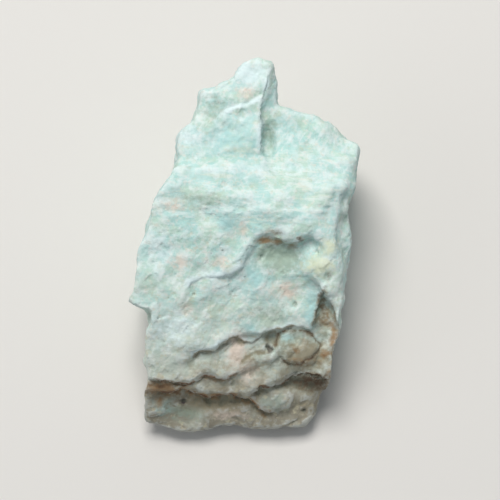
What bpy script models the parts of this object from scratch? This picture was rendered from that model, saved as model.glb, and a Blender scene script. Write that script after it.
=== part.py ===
"""A lump of rough amazonite, lying on its broken flat back with its stepped face up.

The stone is one piece. It is modelled the way it broke: plates of feldspar, each with its own
outline and its own level, lie on each other like the treads of an uneven stair. They are joined,
trimmed to the stone's outline, split along cleavage planes at the back and sides, and roughened.

Everything is first drawn facing the viewer: X to the right, Y up the face and Z out of it, in
millimetres. The `face` empty then lays that drawing back, so that the stone rests on the plane z = 0.
"""

import math

import bmesh
import bpy
from mathutils import Euler, Matrix, Vector, noise

MM = 0.001

LEAN = math.radians(10)  # the face tips this far towards the viewer when the stone lies down
REST_DEPTH = 2.6  # from the middle of the face's drawing plane down to the surface the stone lies on
FAR = 50.0  # further than any point of the stone

GRAIN = 0.26  # size of the cells the joined rock is rebuilt from
TRIANGLES = 9800  # how finely the finished surface is faceted

STONE_COLOUR = (0.56, 0.74, 0.69, 1.0)
STONE_ROUGHNESS = 0.62

# The stone's outline, seen square to the face, clockwise from its tip.
OUTLINE = (
    (1.5, 19.9), (3.2, 19.2), (3.4, 17.9), (3.3, 14.7), (5.1, 14.4), (6.9, 13.9), (8.8, 13.1),
    (9.6, 12.6), (10.7, 11.4), (11.9, 10.9), (12.4, 10.2), (12.1, 8.7), (11.7, 6.1), (11.1, 4.2),
    (11.1, 2.3), (11.4, 0.0), (10.9, -2.8), (10.6, -5.0), (10.1, -9.5), (9.2, -13.7), (9.0, -15.4),
    (7.9, -17.0), (7.4, -18.5), (6.8, -19.6), (5.6, -20.0), (1.2, -20.1), (-2.7, -19.9), (-4.7, -20.3),
    (-6.3, -20.5), (-7.7, -20.2), (-9.3, -19.8), (-10.8, -19.4), (-11.1, -18.6), (-10.8, -16.8),
    (-10.4, -13.9), (-11.0, -12.9), (-10.8, -11.1), (-10.4, -8.8), (-10.8, -7.2), (-12.5, -6.4),
    (-12.1, -5.0), (-11.5, -2.8), (-11.3, -0.5), (-10.7, 1.1), (-9.5, 4.5), (-9.0, 5.8), (-8.1, 6.8),
    (-7.5, 7.8), (-7.1, 9.9), (-7.2, 11.5), (-6.8, 12.3), (-5.7, 13.1), (-5.4, 13.7), (-4.8, 16.3),
    (-4.4, 16.7), (-3.3, 16.8), (-2.7, 17.3), (-1.3, 17.7), (-0.2, 19.2), (1.0, 19.9),
)

# The sides go straight back from the outline to this level, then narrow by this share per millimetre.
NARROWING_FROM = 3.0
NARROWING = 0.012
# Hollows come and go over the sides. Their depth falls into ledges. They fade out towards the low
# end of the stone and towards its face, so that the outline stays as it is drawn.
SIDE_LEVELS = range(-9, 21)
SIDE_HOLLOW = 3.0
SIDE_LEDGE = 0.45
SIDE_SCALE = 5.5
LOW_END = -15.0
LOW_END_FADE = 5.0
RIM_LEVEL = 9.0
RIM_FADE = 3.0

# An outline that takes in all of the stone.
WHOLE = ((-20, -25), (20, -25), (20, 25), (-20, 25))

# Each plate is an outline and the facets that bound its top. A facet is a point (x, y, level) and
# the rise of the surface per millimetre to the right and per millimetre up the face.
PLATES = {
    "core": {
        "outline": WHOLE,
        "facets": (
            ((0, -11, 8.5), 0.0, 0.25),
            ((0, -16.7, 4.5), 0.0, 0.65),
            ((0, 10, 10.3), 0.0, -0.1),
        ),
    },
    "end_block": {
        "outline": (
            (-13.4, -16.3), (-7.8, -15.8), (-6.3, -15.9), (-4.8, -16.3), (-1.8, -16.3), (0.1, -16.6),
            (1.2, -17.5), (2.3, -18.1), (4.0, -18.4), (5.9, -21.5), (-13.4, -21.5),
        ),
        "facets": (((-4.8, -16.7, 5.4), 0.0, 0.62),),
    },
    "end_corner": {
        "outline": (
            (4.3, -13.7), (10.7, -13.7), (11.3, -16.2), (8.0, -21.5), (1.8, -21.5), (1.8, -18.0),
            (4.3, -16.7),
        ),
        "facets": (((6.4, -15.5, 5.2), -0.1, 0.5),),
    },
    "end_facet": {
        "outline": (
            (0.3, -16.3), (1.4, -15.4), (4.3, -14.9), (5.3, -15.9), (4.8, -17.9), (2.7, -18.2),
            (1.2, -17.4),
        ),
        "facets": (((3.0, -16.9, 5.6), -0.1, 0.4),),
    },
    "thin_sheet": {
        "outline": (
            (-13.4, -14.6), (-5.9, -13.5), (1.8, -12.0), (4.3, -11.8), (10.7, -11.8), (10.7, -13.9),
            (8.7, -13.9), (5.9, -13.7), (4.8, -14.0), (4.1, -14.7), (2.7, -15.1), (1.4, -15.4),
            (0.5, -16.3), (-0.5, -16.5), (-1.8, -16.1), (-3.8, -16.3), (-5.0, -15.9), (-6.3, -15.4),
            (-8.0, -15.9), (-13.4, -16.2),
        ),
        "facets": (((-1.6, -15.6, 7.1), -0.04, 0.42),),
    },
    "lower_step": {
        "outline": (
            (-7.5, -13.1), (-5.7, -11.7), (-0.5, -9.2), (1.8, -8.9), (3.8, -8.9), (3.8, -10.0),
            (3.9, -11.5), (3.0, -12.5), (-0.5, -13.7), (-1.4, -14.1), (-2.5, -14.6), (-3.5, -14.0),
            (-4.6, -14.1), (-5.9, -14.8), (-7.2, -14.9),
        ),
        "facets": (((-1.1, -12.3, 9.0), -0.02, 0.25),),
    },
    "oval_scale": {
        "outline": (
            (3.2, -10.6), (4.4, -8.8), (5.8, -8.6), (7.4, -8.9), (8.1, -10.2), (8.0, -11.8),
            (7.0, -12.6), (5.6, -12.9), (4.3, -12.5), (3.2, -11.4),
        ),
        "facets": (((5.6, -11.0, 9.25), -0.08, 0.3),),
    },
    "lower_face": {
        "outline": (
            (-9.9, -6.0), (-10.0, -8.7), (-10.6, -9.3), (-13.4, -9.8), (-13.4, -14.6), (-8.6, -14.9),
            (-6.5, -14.6), (-6.6, -13.0), (-5.7, -11.7), (-4.6, -11.4), (-3.2, -11.4), (-2.5, -10.6),
            (-1.7, -10.1), (0.0, -9.8), (1.8, -9.5), (2.5, -9.2), (3.9, -9.2), (5.4, -9.0),
            (7.1, -9.3), (7.6, -8.4), (8.0, -6.0), (8.5, -4.4), (9.3, -2.3), (8.6, 1.0), (-0.5, 1.0),
            (-8.0, -3.9),
        ),
        "facets": (((-0.5, -7.1, 11.1), -0.05, 0.24), ((-8.6, -11.9, 9.7), 0.05, 0.4)),
    },
    "upper_face": {
        "outline": (
            (-14.5, 8.1), (-7.2, 8.1), (-5.4, 8.6), (-3.2, 8.9), (-0.5, 9.0), (1.2, 8.5), (2.7, 7.7),
            (5.9, 7.1), (9.1, 6.4), (10.9, 6.0), (10.3, 4.2), (9.9, 2.4), (9.8, 0.4), (9.9, -0.3),
            (9.1, -0.2), (7.8, 0.1), (6.8, 0.8), (6.1, 0.3), (5.7, -0.2), (4.6, 0.0), (3.8, 0.2),
            (2.7, 0.9), (1.6, 1.0), (0.9, 0.1), (0.2, -0.9), (-0.1, -1.9), (-0.8, -3.0),
            (-1.8, -3.5), (-3.5, -3.4), (-5.0, -3.6), (-6.1, -4.3), (-6.4, -5.8), (-7.2, -7.3),
            (-9.9, -7.3), (-10.5, -6.9), (-12.4, -6.3), (-14.5, -5.6),
        ),
        "facets": (
            ((2.7, 3.1, 14.1), 0.0, 0.02),
            ((-5.9, 0.4, 12.95), 0.065, 0.16),
            ((0.0, 8.5, 13.0), 0.0, -0.27),
            ((8.6, 3.0, 13.9), -0.35, 0.0),
        ),
    },
    "bump": {
        "outline": (
            (6.1, -0.6), (7.8, 0.1), (10.0, -0.3), (10.6, -1.9), (10.7, -3.4), (10.0, -4.9),
            (8.9, -5.1), (8.4, -4.3), (7.6, -3.9), (6.2, -2.8),
        ),
        "facets": (
            ((8.2, -0.6, 13.5), 0.0, 0.28),
            ((6.6, -2.0, 12.4), 0.5, 0.3),
            ((10.1, -2.0, 12.8), -1.2, 0.0),
        ),
    },
    "tower": {
        "outline": (
            (-8.6, 6.9), (-8.6, 14.4), (-5.9, 14.4), (-5.4, 20.8), (1.8, 21.9), (4.3, 20.3),
            (2.8, 18.6), (2.9, 16.4), (2.3, 15.4), (1.8, 14.1), (1.7, 10.1), (2.0, 6.3),
        ),
        "facets": (((-0.5, 14.4, 12.1), 0.05, -0.03), ((-5.4, 12.2, 11.7), 0.25, -0.05)),
    },
    "tower_side": {
        "outline": ((1.2, 9.0), (1.2, 21.9), (4.3, 20.9), (4.1, 13.0), (2.9, 12.4), (2.2, 9.0)),
        "facets": (((2.6, 15, 11.2), -0.55, 0.0),),
    },
    "shoulder": {
        "outline": ((1.1, 16.0), (13.9, 16.0), (13.9, 3.6), (1.1, 3.6)),
        "facets": (((5.9, 11.0, 10.9), -0.03, -0.12), ((9.6, 11.1, 10.6), -0.5, -0.5)),
    },
    "rib_high": {
        "outline": ((1.8, 9.9), (4.8, 10.1), (8.0, 9.4), (13.9, 9.0), (13.9, 3.1), (1.8, 3.1)),
        "facets": (((5.9, 9.0, 11.8), -0.03, -0.2), ((11.2, 7, 11.7), -0.9, 0.0)),
    },
    "rib_low": {
        "outline": (
            (1.8, 8.7), (4.3, 8.4), (7.0, 7.8), (13.9, 7.3), (13.9, 4.8), (10.2, 3.2), (1.8, 2.6),
        ),
        "facets": (((5.9, 7.0, 12.6), -0.03, -0.25), ((10.8, 6, 12.4), -1.3, 0.0)),
    },
    "flank": {
        "outline": ((8.6, 6.6), (12.9, 6.4), (12.9, -6.0), (10.2, -9.2), (9.1, -6.0), (8.6, -0.6)),
        "facets": (((10.1, 2.0, 12.9), -3.0, 0.1), ((10.0, 2.0, 12.7), 0.0, 0.1)),
    },
    "side_rim": {
        "outline": (
            (9.4, -3.9), (11.8, -3.9), (11.3, -16.7), (7.8, -16.7), (8.4, -12.4), (9.3, -8.1),
        ),
        "facets": (((10.2, -7.0, 10.0), -0.2, 0.34), ((9.0, -12.5, 8.0), -0.2, 0.95)),
    },
    "trough_floor": {
        "outline": ((7.0, -3.9), (10.2, -3.9), (10.2, -14.6), (5.9, -14.6), (7.2, -9.4)),
        "facets": (((8.9, -7.1, 10.0), 0.25, 0.3),),
    },
}

# Rounded hollows in the face: centre (x, y, level), half sizes, and turn about the line of sight.
HOLLOWS = {
    "scoop": ((3.6, -1.6, 13.8), (2.9, 1.9, 2.0), -12),
    "groove": ((2.5, 11.1, 11.4), (0.9, 1.9, 1.1), 0),
    "pit": ((2.9, -10.5, 9.8), (0.55, 1.3, 1.2), -8),
}

# Steps and slopes of the back. Each is an outline that the rock is missing from, and how deep: the
# facet is where the back's own surface lies, with the same point and rises as the facets above.
BACK = {
    "upper_back": {"outline": WHOLE, "facets": (((0, 3.6, -3.2), 0.0, 0.02),)},
    "lower_back": {"outline": WHOLE, "facets": (((0, -8, -1.2), 0.0, -0.25),)},
    "left_back": {"outline": WHOLE, "facets": (((-3.8, 0, -2.6), -0.3, -0.2),)},
    "right_back": {"outline": WHOLE, "facets": (((4.2, 0, -2.6), 0.28, -0.12),)},
    "under_tip": {
        "outline": (
            (-20, 7.4), (-5.2, 9.0), (-3.4, 7.6), (0.6, 8.6), (3.6, 7.2), (20, 9.4), (20, 25), (-20, 25),
        ),
        "facets": (((0, 9, -1.6), 0.0, 0.5),),
    },
    "under_tower": {
        "outline": ((-20, 12.6), (-3.0, 13.6), (0.8, 12.4), (3.2, 13.4), (20, 16.5), (20, 25), (-20, 25)),
        "facets": (((0, 14, 3.0), -0.12, 0.34),),
    },
    "left_step": {
        "outline": (
            (-20, -25), (-7.4, -25), (-6.4, -12), (-7.2, -8), (-6.2, -3), (-6.8, 4), (-5.6, 12),
            (-20, 14),
        ),
        "facets": (((-7, -2, -0.4), -0.5, -0.12),),
    },
    "left_edge": {
        "outline": ((-20, -12.5), (-9.0, -11), (-9.4, -5), (-8.4, 1.5), (-7.2, 6.5), (-20, 8)),
        "facets": (((-9, -4, 2.2), -0.55, -0.15),),
    },
    "right_step": {
        "outline": (
            (20, -25), (7.6, -25), (7.2, -13), (8.2, -7), (7.4, 0), (8.4, 6), (7.0, 12), (20, 14),
        ),
        "facets": (((8, 0, 0.2), 0.75, -0.1),),
    },
    "end_step": {
        "outline": (
            (-20, -15.2), (-6.0, -15.8), (-1.2, -14.9), (3.4, -15.6), (20, -14.2), (20, -25),
            (-20, -25),
        ),
        "facets": (((0, -16, 0.9), 0.03, -0.06),),
    },
}

# Blocks that have broken out of the sides: centre, half sizes, and turns about X, Y and Z in degrees.
SIDE_BREAKS = {
    "right_long": ((14.0, 2.0, 5.2), (3.0, 7.5, 2.4), (10, -24, 6)),
    "right_low": ((13.4, -10.5, 3.0), (3.0, 5.2, 2.0), (-18, 20, 8)),
    "left_long": ((-13.6, -0.6, 5.8), (3.0, 6.4, 2.2), (-9, 28, -12)),
    "left_low": ((-12.9, -13.0, 3.6), (2.6, 4.0, 1.6), (14, -20, 6)),
    "left_high": ((-9.6, 12.5, 7.4), (2.6, 5.0, 1.8), (8, 30, -14)),
    "tip_corner": ((5.0, 19.0, 8.2), (1.8, 3.4, 1.9), (12, 26, -10)),
}


def new_helper(name, shape):
    """An object, hung on the face, that only cuts or fills and isn't drawn itself."""
    mesh = bpy.data.meshes.new(name)
    bmesh.ops.recalc_face_normals(shape, faces=shape.faces)
    shape.to_mesh(mesh)
    shape.free()
    made = bpy.data.objects.new(name, mesh)
    bpy.context.scene.collection.objects.link(made)
    made.parent = bpy.data.objects["face"]
    made.hide_render = True
    made.display_type = "WIRE"
    return made


def skin(outlines, levels):
    """A closed shape through these outlines, each at its own level."""
    shape = bmesh.new()
    rings = [
        [shape.verts.new(Vector((x, y, level)) * MM) for x, y in outline]
        for outline, level in zip(outlines, levels)
    ]
    for low, high in zip(rings, rings[1:]):
        for i in range(len(low)):
            j = (i + 1) % len(low)
            shape.faces.new((low[i], low[j], high[j], high[i]))
    shape.faces.new(rings[0])
    shape.faces.new(rings[-1])
    return shape


def side_depth(x, y, level):
    """How far the side has broken back from the outline here, in millimetres."""
    pattern = noise.noise(Vector((x, y, 1.5 * level)) / SIDE_SCALE)
    fade = max(0.0, min(1.0, (y - LOW_END) / LOW_END_FADE, (RIM_LEVEL - level) / RIM_FADE))
    return round(SIDE_HOLLOW * fade * max(0.0, pattern) / SIDE_LEDGE) * SIDE_LEDGE


def sides():
    """The stone's broken sides, as the closed shape that all the plates are trimmed to."""
    rings = []
    for level in SIDE_LEVELS:
        narrowing = 1 - NARROWING * max(0.0, NARROWING_FROM - level)
        rings.append([
            Vector((x, y)) * (narrowing - side_depth(x, y, level) / math.hypot(x, y))
            for x, y in OUTLINE
        ])
    return new_helper("sides", skin(rings, SIDE_LEVELS))


def plate(name, outline, facets):
    """A slab of rock with this outline, its top cut down to each of its facets."""
    shape = skin((outline, outline), (-FAR / 2, FAR / 2))
    for (x, y, level), rise_right, rise_up in facets:
        cut = bmesh.ops.bisect_plane(
            shape,
            geom=shape.verts[:] + shape.edges[:] + shape.faces[:],
            plane_co=Vector((x, y, level)) * MM,
            plane_no=Vector((-rise_right, -rise_up, 1.0)),
            clear_outer=True,
        )
        edges = [part for part in cut["geom_cut"] if isinstance(part, bmesh.types.BMEdge)]
        bmesh.ops.edgeloop_fill(shape, edges=edges)
    return new_helper(name, shape)


def hollow(name, centre, half_sizes, turn):
    """An egg-shaped cutter."""
    shape = bmesh.new()
    bmesh.ops.create_icosphere(shape, subdivisions=3, radius=1.0)
    place = (
        Matrix.Translation(Vector(centre) * MM)
        @ Matrix.Rotation(math.radians(turn), 4, "Z")
        @ Matrix.Diagonal((*(size * MM for size in half_sizes), 1.0))
    )
    bmesh.ops.transform(shape, matrix=place, verts=shape.verts)
    return new_helper(name, shape)


def block(name, centre, half_sizes, turns):
    """A turned block, to break out of a side."""
    shape = bmesh.new()
    bmesh.ops.create_cube(shape, size=2.0)
    place = Matrix.LocRotScale(
        Vector(centre) * MM, Euler([math.radians(turn) for turn in turns]), Vector(half_sizes) * MM
    )
    bmesh.ops.transform(shape, matrix=place, verts=shape.verts)
    return new_helper(name, shape)


def gather(name, objects):
    """Moves helpers into a collection of their own, for a Boolean to read."""
    group = bpy.data.collections.new(name)
    bpy.context.scene.collection.children.link(group)
    for member in objects:
        group.objects.link(member)
        bpy.context.scene.collection.objects.unlink(member)
    return group


def add_boolean(stone, name, operation, group=None, cutter=None):
    step = stone.modifiers.new(name, "BOOLEAN")
    step.operation = operation
    if group:
        step.operand_type = "COLLECTION"
        step.collection = group
    else:
        step.object = cutter


def add_roughness(stone, name, texture_type, scale, strength, direction="NORMAL"):
    """Pushes the surface about by a cloudy pattern whose lumps are about this scale, in millimetres."""
    pattern = bpy.data.textures.new(name, texture_type)
    pattern.noise_scale = scale * MM
    if texture_type == "CLOUDS":
        pattern.noise_depth = 2
        pattern.cloud_type = "COLOR" if direction == "RGB_TO_XYZ" else "GRAYSCALE"
    step = stone.modifiers.new(name, "DISPLACE")
    step.texture = pattern
    step.texture_coords = "LOCAL"
    step.direction = direction
    step.mid_level = 0.5
    step.strength = strength * MM


def stone_material():
    material = bpy.data.materials.new("amazonite")
    material.use_nodes = True
    surface = material.node_tree.nodes["Principled BSDF"]
    surface.inputs["Base Color"].default_value = STONE_COLOUR
    surface.inputs["Roughness"].default_value = STONE_ROUGHNESS
    surface.inputs["Metallic"].default_value = 0.0
    return material


def main():
    for thing in list(bpy.data.objects):
        bpy.data.objects.remove(thing)

    face = bpy.data.objects.new("face", None)
    bpy.context.scene.collection.objects.link(face)
    face.rotation_euler.x = LEAN
    face.location.z = REST_DEPTH * MM * math.cos(LEAN)

    plates = {name: plate(name, **made) for name, made in PLATES.items()}
    core = plates.pop("core")
    hollows = [hollow(name, *made) for name, made in HOLLOWS.items()]
    back = [plate(name, **made) for name, made in BACK.items()]
    side_breaks = [block(name, *made) for name, made in SIDE_BREAKS.items()]

    surface_below = bmesh.new()
    bmesh.ops.create_cube(surface_below, size=2 * FAR * MM)
    ground = new_helper("ground", surface_below)
    ground.parent = None
    ground.location.z = -FAR * MM

    stone = core
    stone.name = "amazonite"
    stone.hide_render = False
    stone.display_type = "TEXTURED"
    stone.data.materials.append(stone_material())

    add_boolean(stone, "join the plates", "UNION", group=gather("plates", plates.values()))
    add_boolean(stone, "trim to the outline", "INTERSECT", cutter=sides())
    add_boolean(stone, "hollow", "DIFFERENCE", group=gather("hollows", hollows))
    add_boolean(stone, "break the back", "DIFFERENCE", group=gather("back", back))
    add_boolean(stone, "break the sides", "DIFFERENCE", group=gather("side breaks", side_breaks))

    rebuild = stone.modifiers.new("rebuild as even grain", "REMESH")
    rebuild.mode = "VOXEL"
    rebuild.voxel_size = GRAIN * MM

    add_roughness(stone, "wandering edges", "CLOUDS", 3.0, 0.8, direction="RGB_TO_XYZ")
    add_roughness(stone, "lumps", "CLOUDS", 2.4, 0.45)
    add_roughness(stone, "broken grain", "VORONOI", 1.6, 0.2)

    bpy.context.view_layer.update()
    whole = stone.evaluated_get(bpy.context.evaluated_depsgraph_get()).to_mesh()
    whole.calc_loop_triangles()
    facets = stone.modifiers.new("facets", "DECIMATE")
    facets.ratio = TRIANGLES / len(whole.loop_triangles)
    add_boolean(stone, "flat rest", "DIFFERENCE", cutter=ground)


main()
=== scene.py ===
# %% [markdown]
# # A lump of rough amazonite
# Amazonite is a blue-green feldspar. A hammer blow breaks it along its cleavage, so a rough piece
# is an uneven stair of flat treads, with a chalky, sugary surface and iron stain in its cracks.
# This lesson dresses the plain CAD solid of one such lump: it rebuilds the surface finely, breaks the
# small ledges into it, and paints the mineral's colours with a procedural material.

# %% Load the solid stone
import math

import bpy
import numpy as np
from mathutils import Matrix, Vector, noise


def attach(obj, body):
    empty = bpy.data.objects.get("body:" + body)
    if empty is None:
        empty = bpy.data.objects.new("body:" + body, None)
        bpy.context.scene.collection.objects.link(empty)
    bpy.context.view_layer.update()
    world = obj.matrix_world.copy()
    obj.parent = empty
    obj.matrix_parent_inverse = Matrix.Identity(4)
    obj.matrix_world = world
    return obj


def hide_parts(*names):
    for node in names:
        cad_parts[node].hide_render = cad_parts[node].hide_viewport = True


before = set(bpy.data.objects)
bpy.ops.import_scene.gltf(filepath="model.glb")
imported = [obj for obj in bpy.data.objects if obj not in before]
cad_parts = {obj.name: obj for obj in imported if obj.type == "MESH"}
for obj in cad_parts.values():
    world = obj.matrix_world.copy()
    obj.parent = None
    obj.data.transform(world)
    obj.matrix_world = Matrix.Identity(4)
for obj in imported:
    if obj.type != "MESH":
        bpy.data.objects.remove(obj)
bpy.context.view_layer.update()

cad_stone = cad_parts["amazonite"]

# %% [markdown]
# ## Drawing on the face
# The stone lies on its back and its stepped face leans a little towards the viewer. Everything on
# the face is easiest to place as on a sheet of paper laid on it: X to the right, Y up the face and
# the level out of it, in millimetres. The floor is REST_DEPTH below the middle of the sheet, measured
# square to it. These two helpers turn places on the sheet into places in the scene and back.

# %% The sheet that the face is drawn on
MM = 0.001
LEAN = math.radians(10)
REST_DEPTH = 2.6
FACE = (
    Matrix.Translation((0, 0, REST_DEPTH * MM * math.cos(LEAN)))
    @ Matrix.Rotation(LEAN, 4, "X")
    @ Matrix.Scale(MM, 4)
)


def on_face(x, y, level):
    """The place in the scene of a point on the drawing sheet."""
    return FACE @ Vector((x, y, level))


def to_sheet(places):
    """Sheet coordinates, in millimetres, of many places in the scene."""
    turn = np.array(FACE.inverted())
    return places @ turn[:3, :3].T + turn[:3, 3]


print("the middle of the sheet is at", tuple(round(c, 4) for c in on_face(0, 0, 0)))

# %% [markdown]
# ## Camera
# The viewer looks almost straight down on the face from about half a metre. A long lens gives the
# flat, calm perspective of a product photograph. The picture spans 53.6 mm of the stone's face.

# %% Set up the camera
PICTURE_WIDTH = 53.6
CAMERA_DISTANCE = 450.0
SENSOR = 36.0
CAMERA_AIM = (0.54, -0.64, 11.0)
CLIP_START = 10.0

camera = bpy.data.objects.new("camera", bpy.data.cameras.new("camera"))
bpy.context.scene.collection.objects.link(camera)
camera.data.sensor_width = SENSOR
camera.data.lens = SENSOR * CAMERA_DISTANCE / PICTURE_WIDTH
camera.data.clip_start = CLIP_START * MM
x, y, level = CAMERA_AIM
camera.location = on_face(x, y, level + CAMERA_DISTANCE)
camera.rotation_euler = (LEAN, 0, 0)
bpy.context.scene.camera = camera
print("the lens is", round(camera.data.lens), "mm")

# %% [markdown]
# ## Floor
# A plain pale floor carries the stone and catches its soft shadow. It is far wider than the
# picture, so that its edge shows only from close to the ground.

# %% Lay the floor
FLOOR_SIZE = 6.0
FLOOR_COLOUR = (0.72, 0.70, 0.67, 1.0)
FLOOR_ROUGHNESS = 0.9

bpy.ops.object.select_all(action="DESELECT")
bpy.ops.mesh.primitive_plane_add(size=FLOOR_SIZE)
floor = bpy.context.object
floor.name = "floor"
paper = bpy.data.materials.new("pale paper")
paper.use_nodes = True
paper.node_tree.nodes["Principled BSDF"].inputs["Base Color"].default_value = FLOOR_COLOUR
paper.node_tree.nodes["Principled BSDF"].inputs["Roughness"].default_value = FLOOR_ROUGHNESS
floor.data.materials.append(paper)
print("the floor is", FLOOR_SIZE, "m wide")

# %% [markdown]
# ## Light
# The light is one soft window, high up beyond the stone's tip, so the treads that tip towards it
# are bright and the steps at the near end fall into shade. A weak even sky fills the shadows, and a faint
# panel from the left keeps the near steps readable.

# %% Hang the lights: place, width, power and tint
SKY_COLOUR = (0.86, 0.93, 1.0, 1.0)
SKY_STRENGTH = 0.29
LIGHTS = {
    "window": ((-0.07, 0.26, 0.55), 0.26, 3.35, (1.0, 0.98, 0.95)),
    "side panel": ((-0.5, -0.1, 0.35), 0.4, 0.3, (0.95, 0.98, 1.0)),
}
LIGHT_AIM = (0, 0, 0.01)

sky = bpy.data.worlds.new("sky")
bpy.context.scene.world = sky
sky.use_nodes = True
sky.node_tree.nodes["Background"].inputs["Color"].default_value = SKY_COLOUR
sky.node_tree.nodes["Background"].inputs["Strength"].default_value = SKY_STRENGTH
for name, (place, size, power, tint) in LIGHTS.items():
    lamp = bpy.data.objects.new(name, bpy.data.lights.new(name, "AREA"))
    bpy.context.scene.collection.objects.link(lamp)
    lamp.data.size = size
    lamp.data.energy = power
    lamp.data.color = tint
    lamp.location = place
    lamp.rotation_euler = (Vector(LIGHT_AIM) - lamp.location).to_track_quat("-Z", "Y").to_euler()
bpy.context.scene.view_settings.view_transform = "Standard"
print("hung", len(LIGHTS), "lights")

# %% [markdown]
# ## A fine skin for the stone
# The CAD solid has the stone's true lumps and treads, but its facets are nearly a millimetre wide.
# The fine surface starts from a copy of it. Sculptors remesh such a copy into small even cells, so
# that every part of the skin can be carved alike.

# %% Copy, merge and remesh
CELL = 0.14
MERGE_GAP = 0.001

bpy.ops.object.select_all(action="DESELECT")
stone = cad_stone.copy()
stone.data = cad_stone.data.copy()
stone.name = "rough_amazonite"
bpy.context.scene.collection.objects.link(stone)
stone.select_set(True)
bpy.context.view_layer.objects.active = stone
bpy.ops.object.mode_set(mode="EDIT")
bpy.ops.mesh.select_all(action="SELECT")
bpy.ops.mesh.remove_doubles(threshold=MERGE_GAP * MM)
bpy.ops.object.mode_set(mode="OBJECT")

rebuild = stone.modifiers.new("rebuild", "REMESH")
rebuild.mode = "VOXEL"
rebuild.voxel_size = CELL * MM
bpy.ops.object.modifier_apply(modifier=rebuild.name)
print("the skin has", len(stone.data.polygons), "cells")

# %% [markdown]
# ## Trimming the facets
# A trim brush flattens whatever is nearly flat and leaves the creases, which is how cleavage looks.
# Here each cell's direction is averaged with its neighbours', but a neighbour that points quite
# another way hardly counts. Then the points move until the cells fit their new directions. The
# small CAD facets melt into broad treads, and the edges of the treads stay crisp.

# %% Trim the skin
TRIM_ROUNDS = 45
TRIM_MOVES = 24
TRIM_CREASE = math.radians(24)


def read(items, name, width, kind=np.float32):
    """One property of all the vertices, edges, loops or faces, as rows of numbers."""
    values = np.empty(len(items) * width, kind)
    items.foreach_get(name, values)
    return values.reshape(-1, width) if width > 1 else values


def scatter(index, values, size):
    """Sums rows of values into as many rows as there are items, by each row's item."""
    return np.stack([np.bincount(index, column, size) for column in values.T], 1)


def unit(rows):
    """The same directions, each one long."""
    return rows / np.linalg.norm(rows, axis=1, keepdims=True)


skin = stone.data
corners = read(skin.loops, "vertex_index", 1, np.int32)
faces = np.repeat(np.arange(len(skin.polygons)), read(skin.polygons, "loop_total", 1, np.int32))
# A closed skin has two cells on every edge, so in the order of the edges they come in pairs.
sides = faces[np.argsort(read(skin.loops, "edge_index", 1, np.int32), kind="stable")]
one_side, other_side = sides[0::2], sides[1::2]
aims = read(skin.polygons, "normal", 3).astype(float)
for _ in range(TRIM_ROUNDS):
    turn = (aims[one_side] * aims[other_side]).sum(1) - 1
    alike = np.exp(turn / (1 - math.cos(TRIM_CREASE)))[:, None]
    aims = unit(
        aims
        + scatter(one_side, alike * aims[other_side], len(aims))
        + scatter(other_side, alike * aims[one_side], len(aims))
    )
places = read(skin.vertices, "co", 3).astype(float)
cells_met = np.bincount(corners, minlength=len(places))[:, None]
corners_held = np.bincount(faces)[:, None]
for _ in range(TRIM_MOVES):
    centres = scatter(faces, places[corners], len(aims)) / corners_held
    gap = ((centres[faces] - places[corners]) * aims[faces]).sum(1)[:, None]
    places += scatter(corners, gap * aims[faces], len(places)) / cells_met
skin.vertices.foreach_set("co", places.astype(np.float32).ravel())
skin.update()
print("trimmed the skin in", TRIM_ROUNDS, "rounds and", TRIM_MOVES, "moves")

# %% [markdown]
# ## Strokes on the skin
# A hand sculptor would now follow each ledge with a brush. In a script a stroke is a formula of
# each point's place, so these helpers read where all the points are and push them in or out. The
# drawing is made as the viewer sees the face, so a point that lies deeper, and so looks smaller,
# is moved in towards the middle first.

# %% Helpers that push the skin and shake the drawing
NORMAL_ROUNDS = 3
SEED_STEPS = (1.0, 1.7, -2.3)
# Each octave of noise is NOISE_FINER times finer than the last, and lower by NOISE_FALL's power of it.
NOISE_FINER = 2.0
NOISE_FALL = 1.0
SHAKE_SEEDS = (3.1, 7.7)
TURNED_AWAY = -0.05
TURNED_TO_VIEWER = 0.25


def neighbour_mean(values):
    """Each vertex's average over the vertices joined to it by an edge."""
    ends = read(skin.edges, "vertices", 2, np.int32)
    total = scatter(ends[:, 0], values[ends[:, 1]], len(values))
    total += scatter(ends[:, 1], values[ends[:, 0]], len(values))
    return total / np.bincount(ends.ravel(), minlength=len(values))[:, None]


def push(millimetres):
    """Moves every vertex out along its softened normal by its own number of millimetres."""
    normals = read(skin.vertices, "normal", 3)
    for _ in range(NORMAL_ROUNDS):
        normals = neighbour_mean(normals)
    places = read(skin.vertices, "co", 3) + unit(normals) * (millimetres * MM)[:, None]
    skin.vertices.foreach_set("co", places.astype(np.float32).ravel())
    skin.update()


def cloud(points, size, seed, octaves=3):
    """Soft noise between about -1 and 1, whose lumps are about this size in millimetres."""
    shift = Vector([seed * step for step in SEED_STEPS])
    return np.array([
        noise.fractal(Vector(point) / size + shift, NOISE_FALL, NOISE_FINER, octaves)
        for point in points
    ])


def steps(value, low, high):
    """0 below low, 1 above high, and an even S-curve between."""
    share = np.clip((value - low) / (high - low), 0, 1)
    return share * share * (3 - 2 * share)


def drawing(shake_size, shake_reach):
    """Every vertex on the sheet: its place, its place in the shaken drawing, how it faces the viewer."""
    sheet = to_sheet(read(skin.vertices, "co", 3).astype(float))
    aim = np.array(CAMERA_AIM)
    spread = CAMERA_DISTANCE / (CAMERA_DISTANCE - (sheet[:, 2:] - aim[2]))
    seen = aim[:2] + (sheet[:, :2] - aim[:2]) * spread
    shake = np.stack([cloud(sheet, shake_size, seed=seed) for seed in SHAKE_SEEDS], 1)
    facing = read(skin.vertices, "normal", 3) @ np.array(FACE)[:3, 2] / MM
    return sheet, seen + shake_reach * shake, steps(facing, TURNED_AWAY, TURNED_TO_VIEWER)


print("a step from 0 to 1 is", steps(0.25, 0, 1), "a quarter of the way and", steps(0.5, 0, 1), "halfway")

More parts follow.
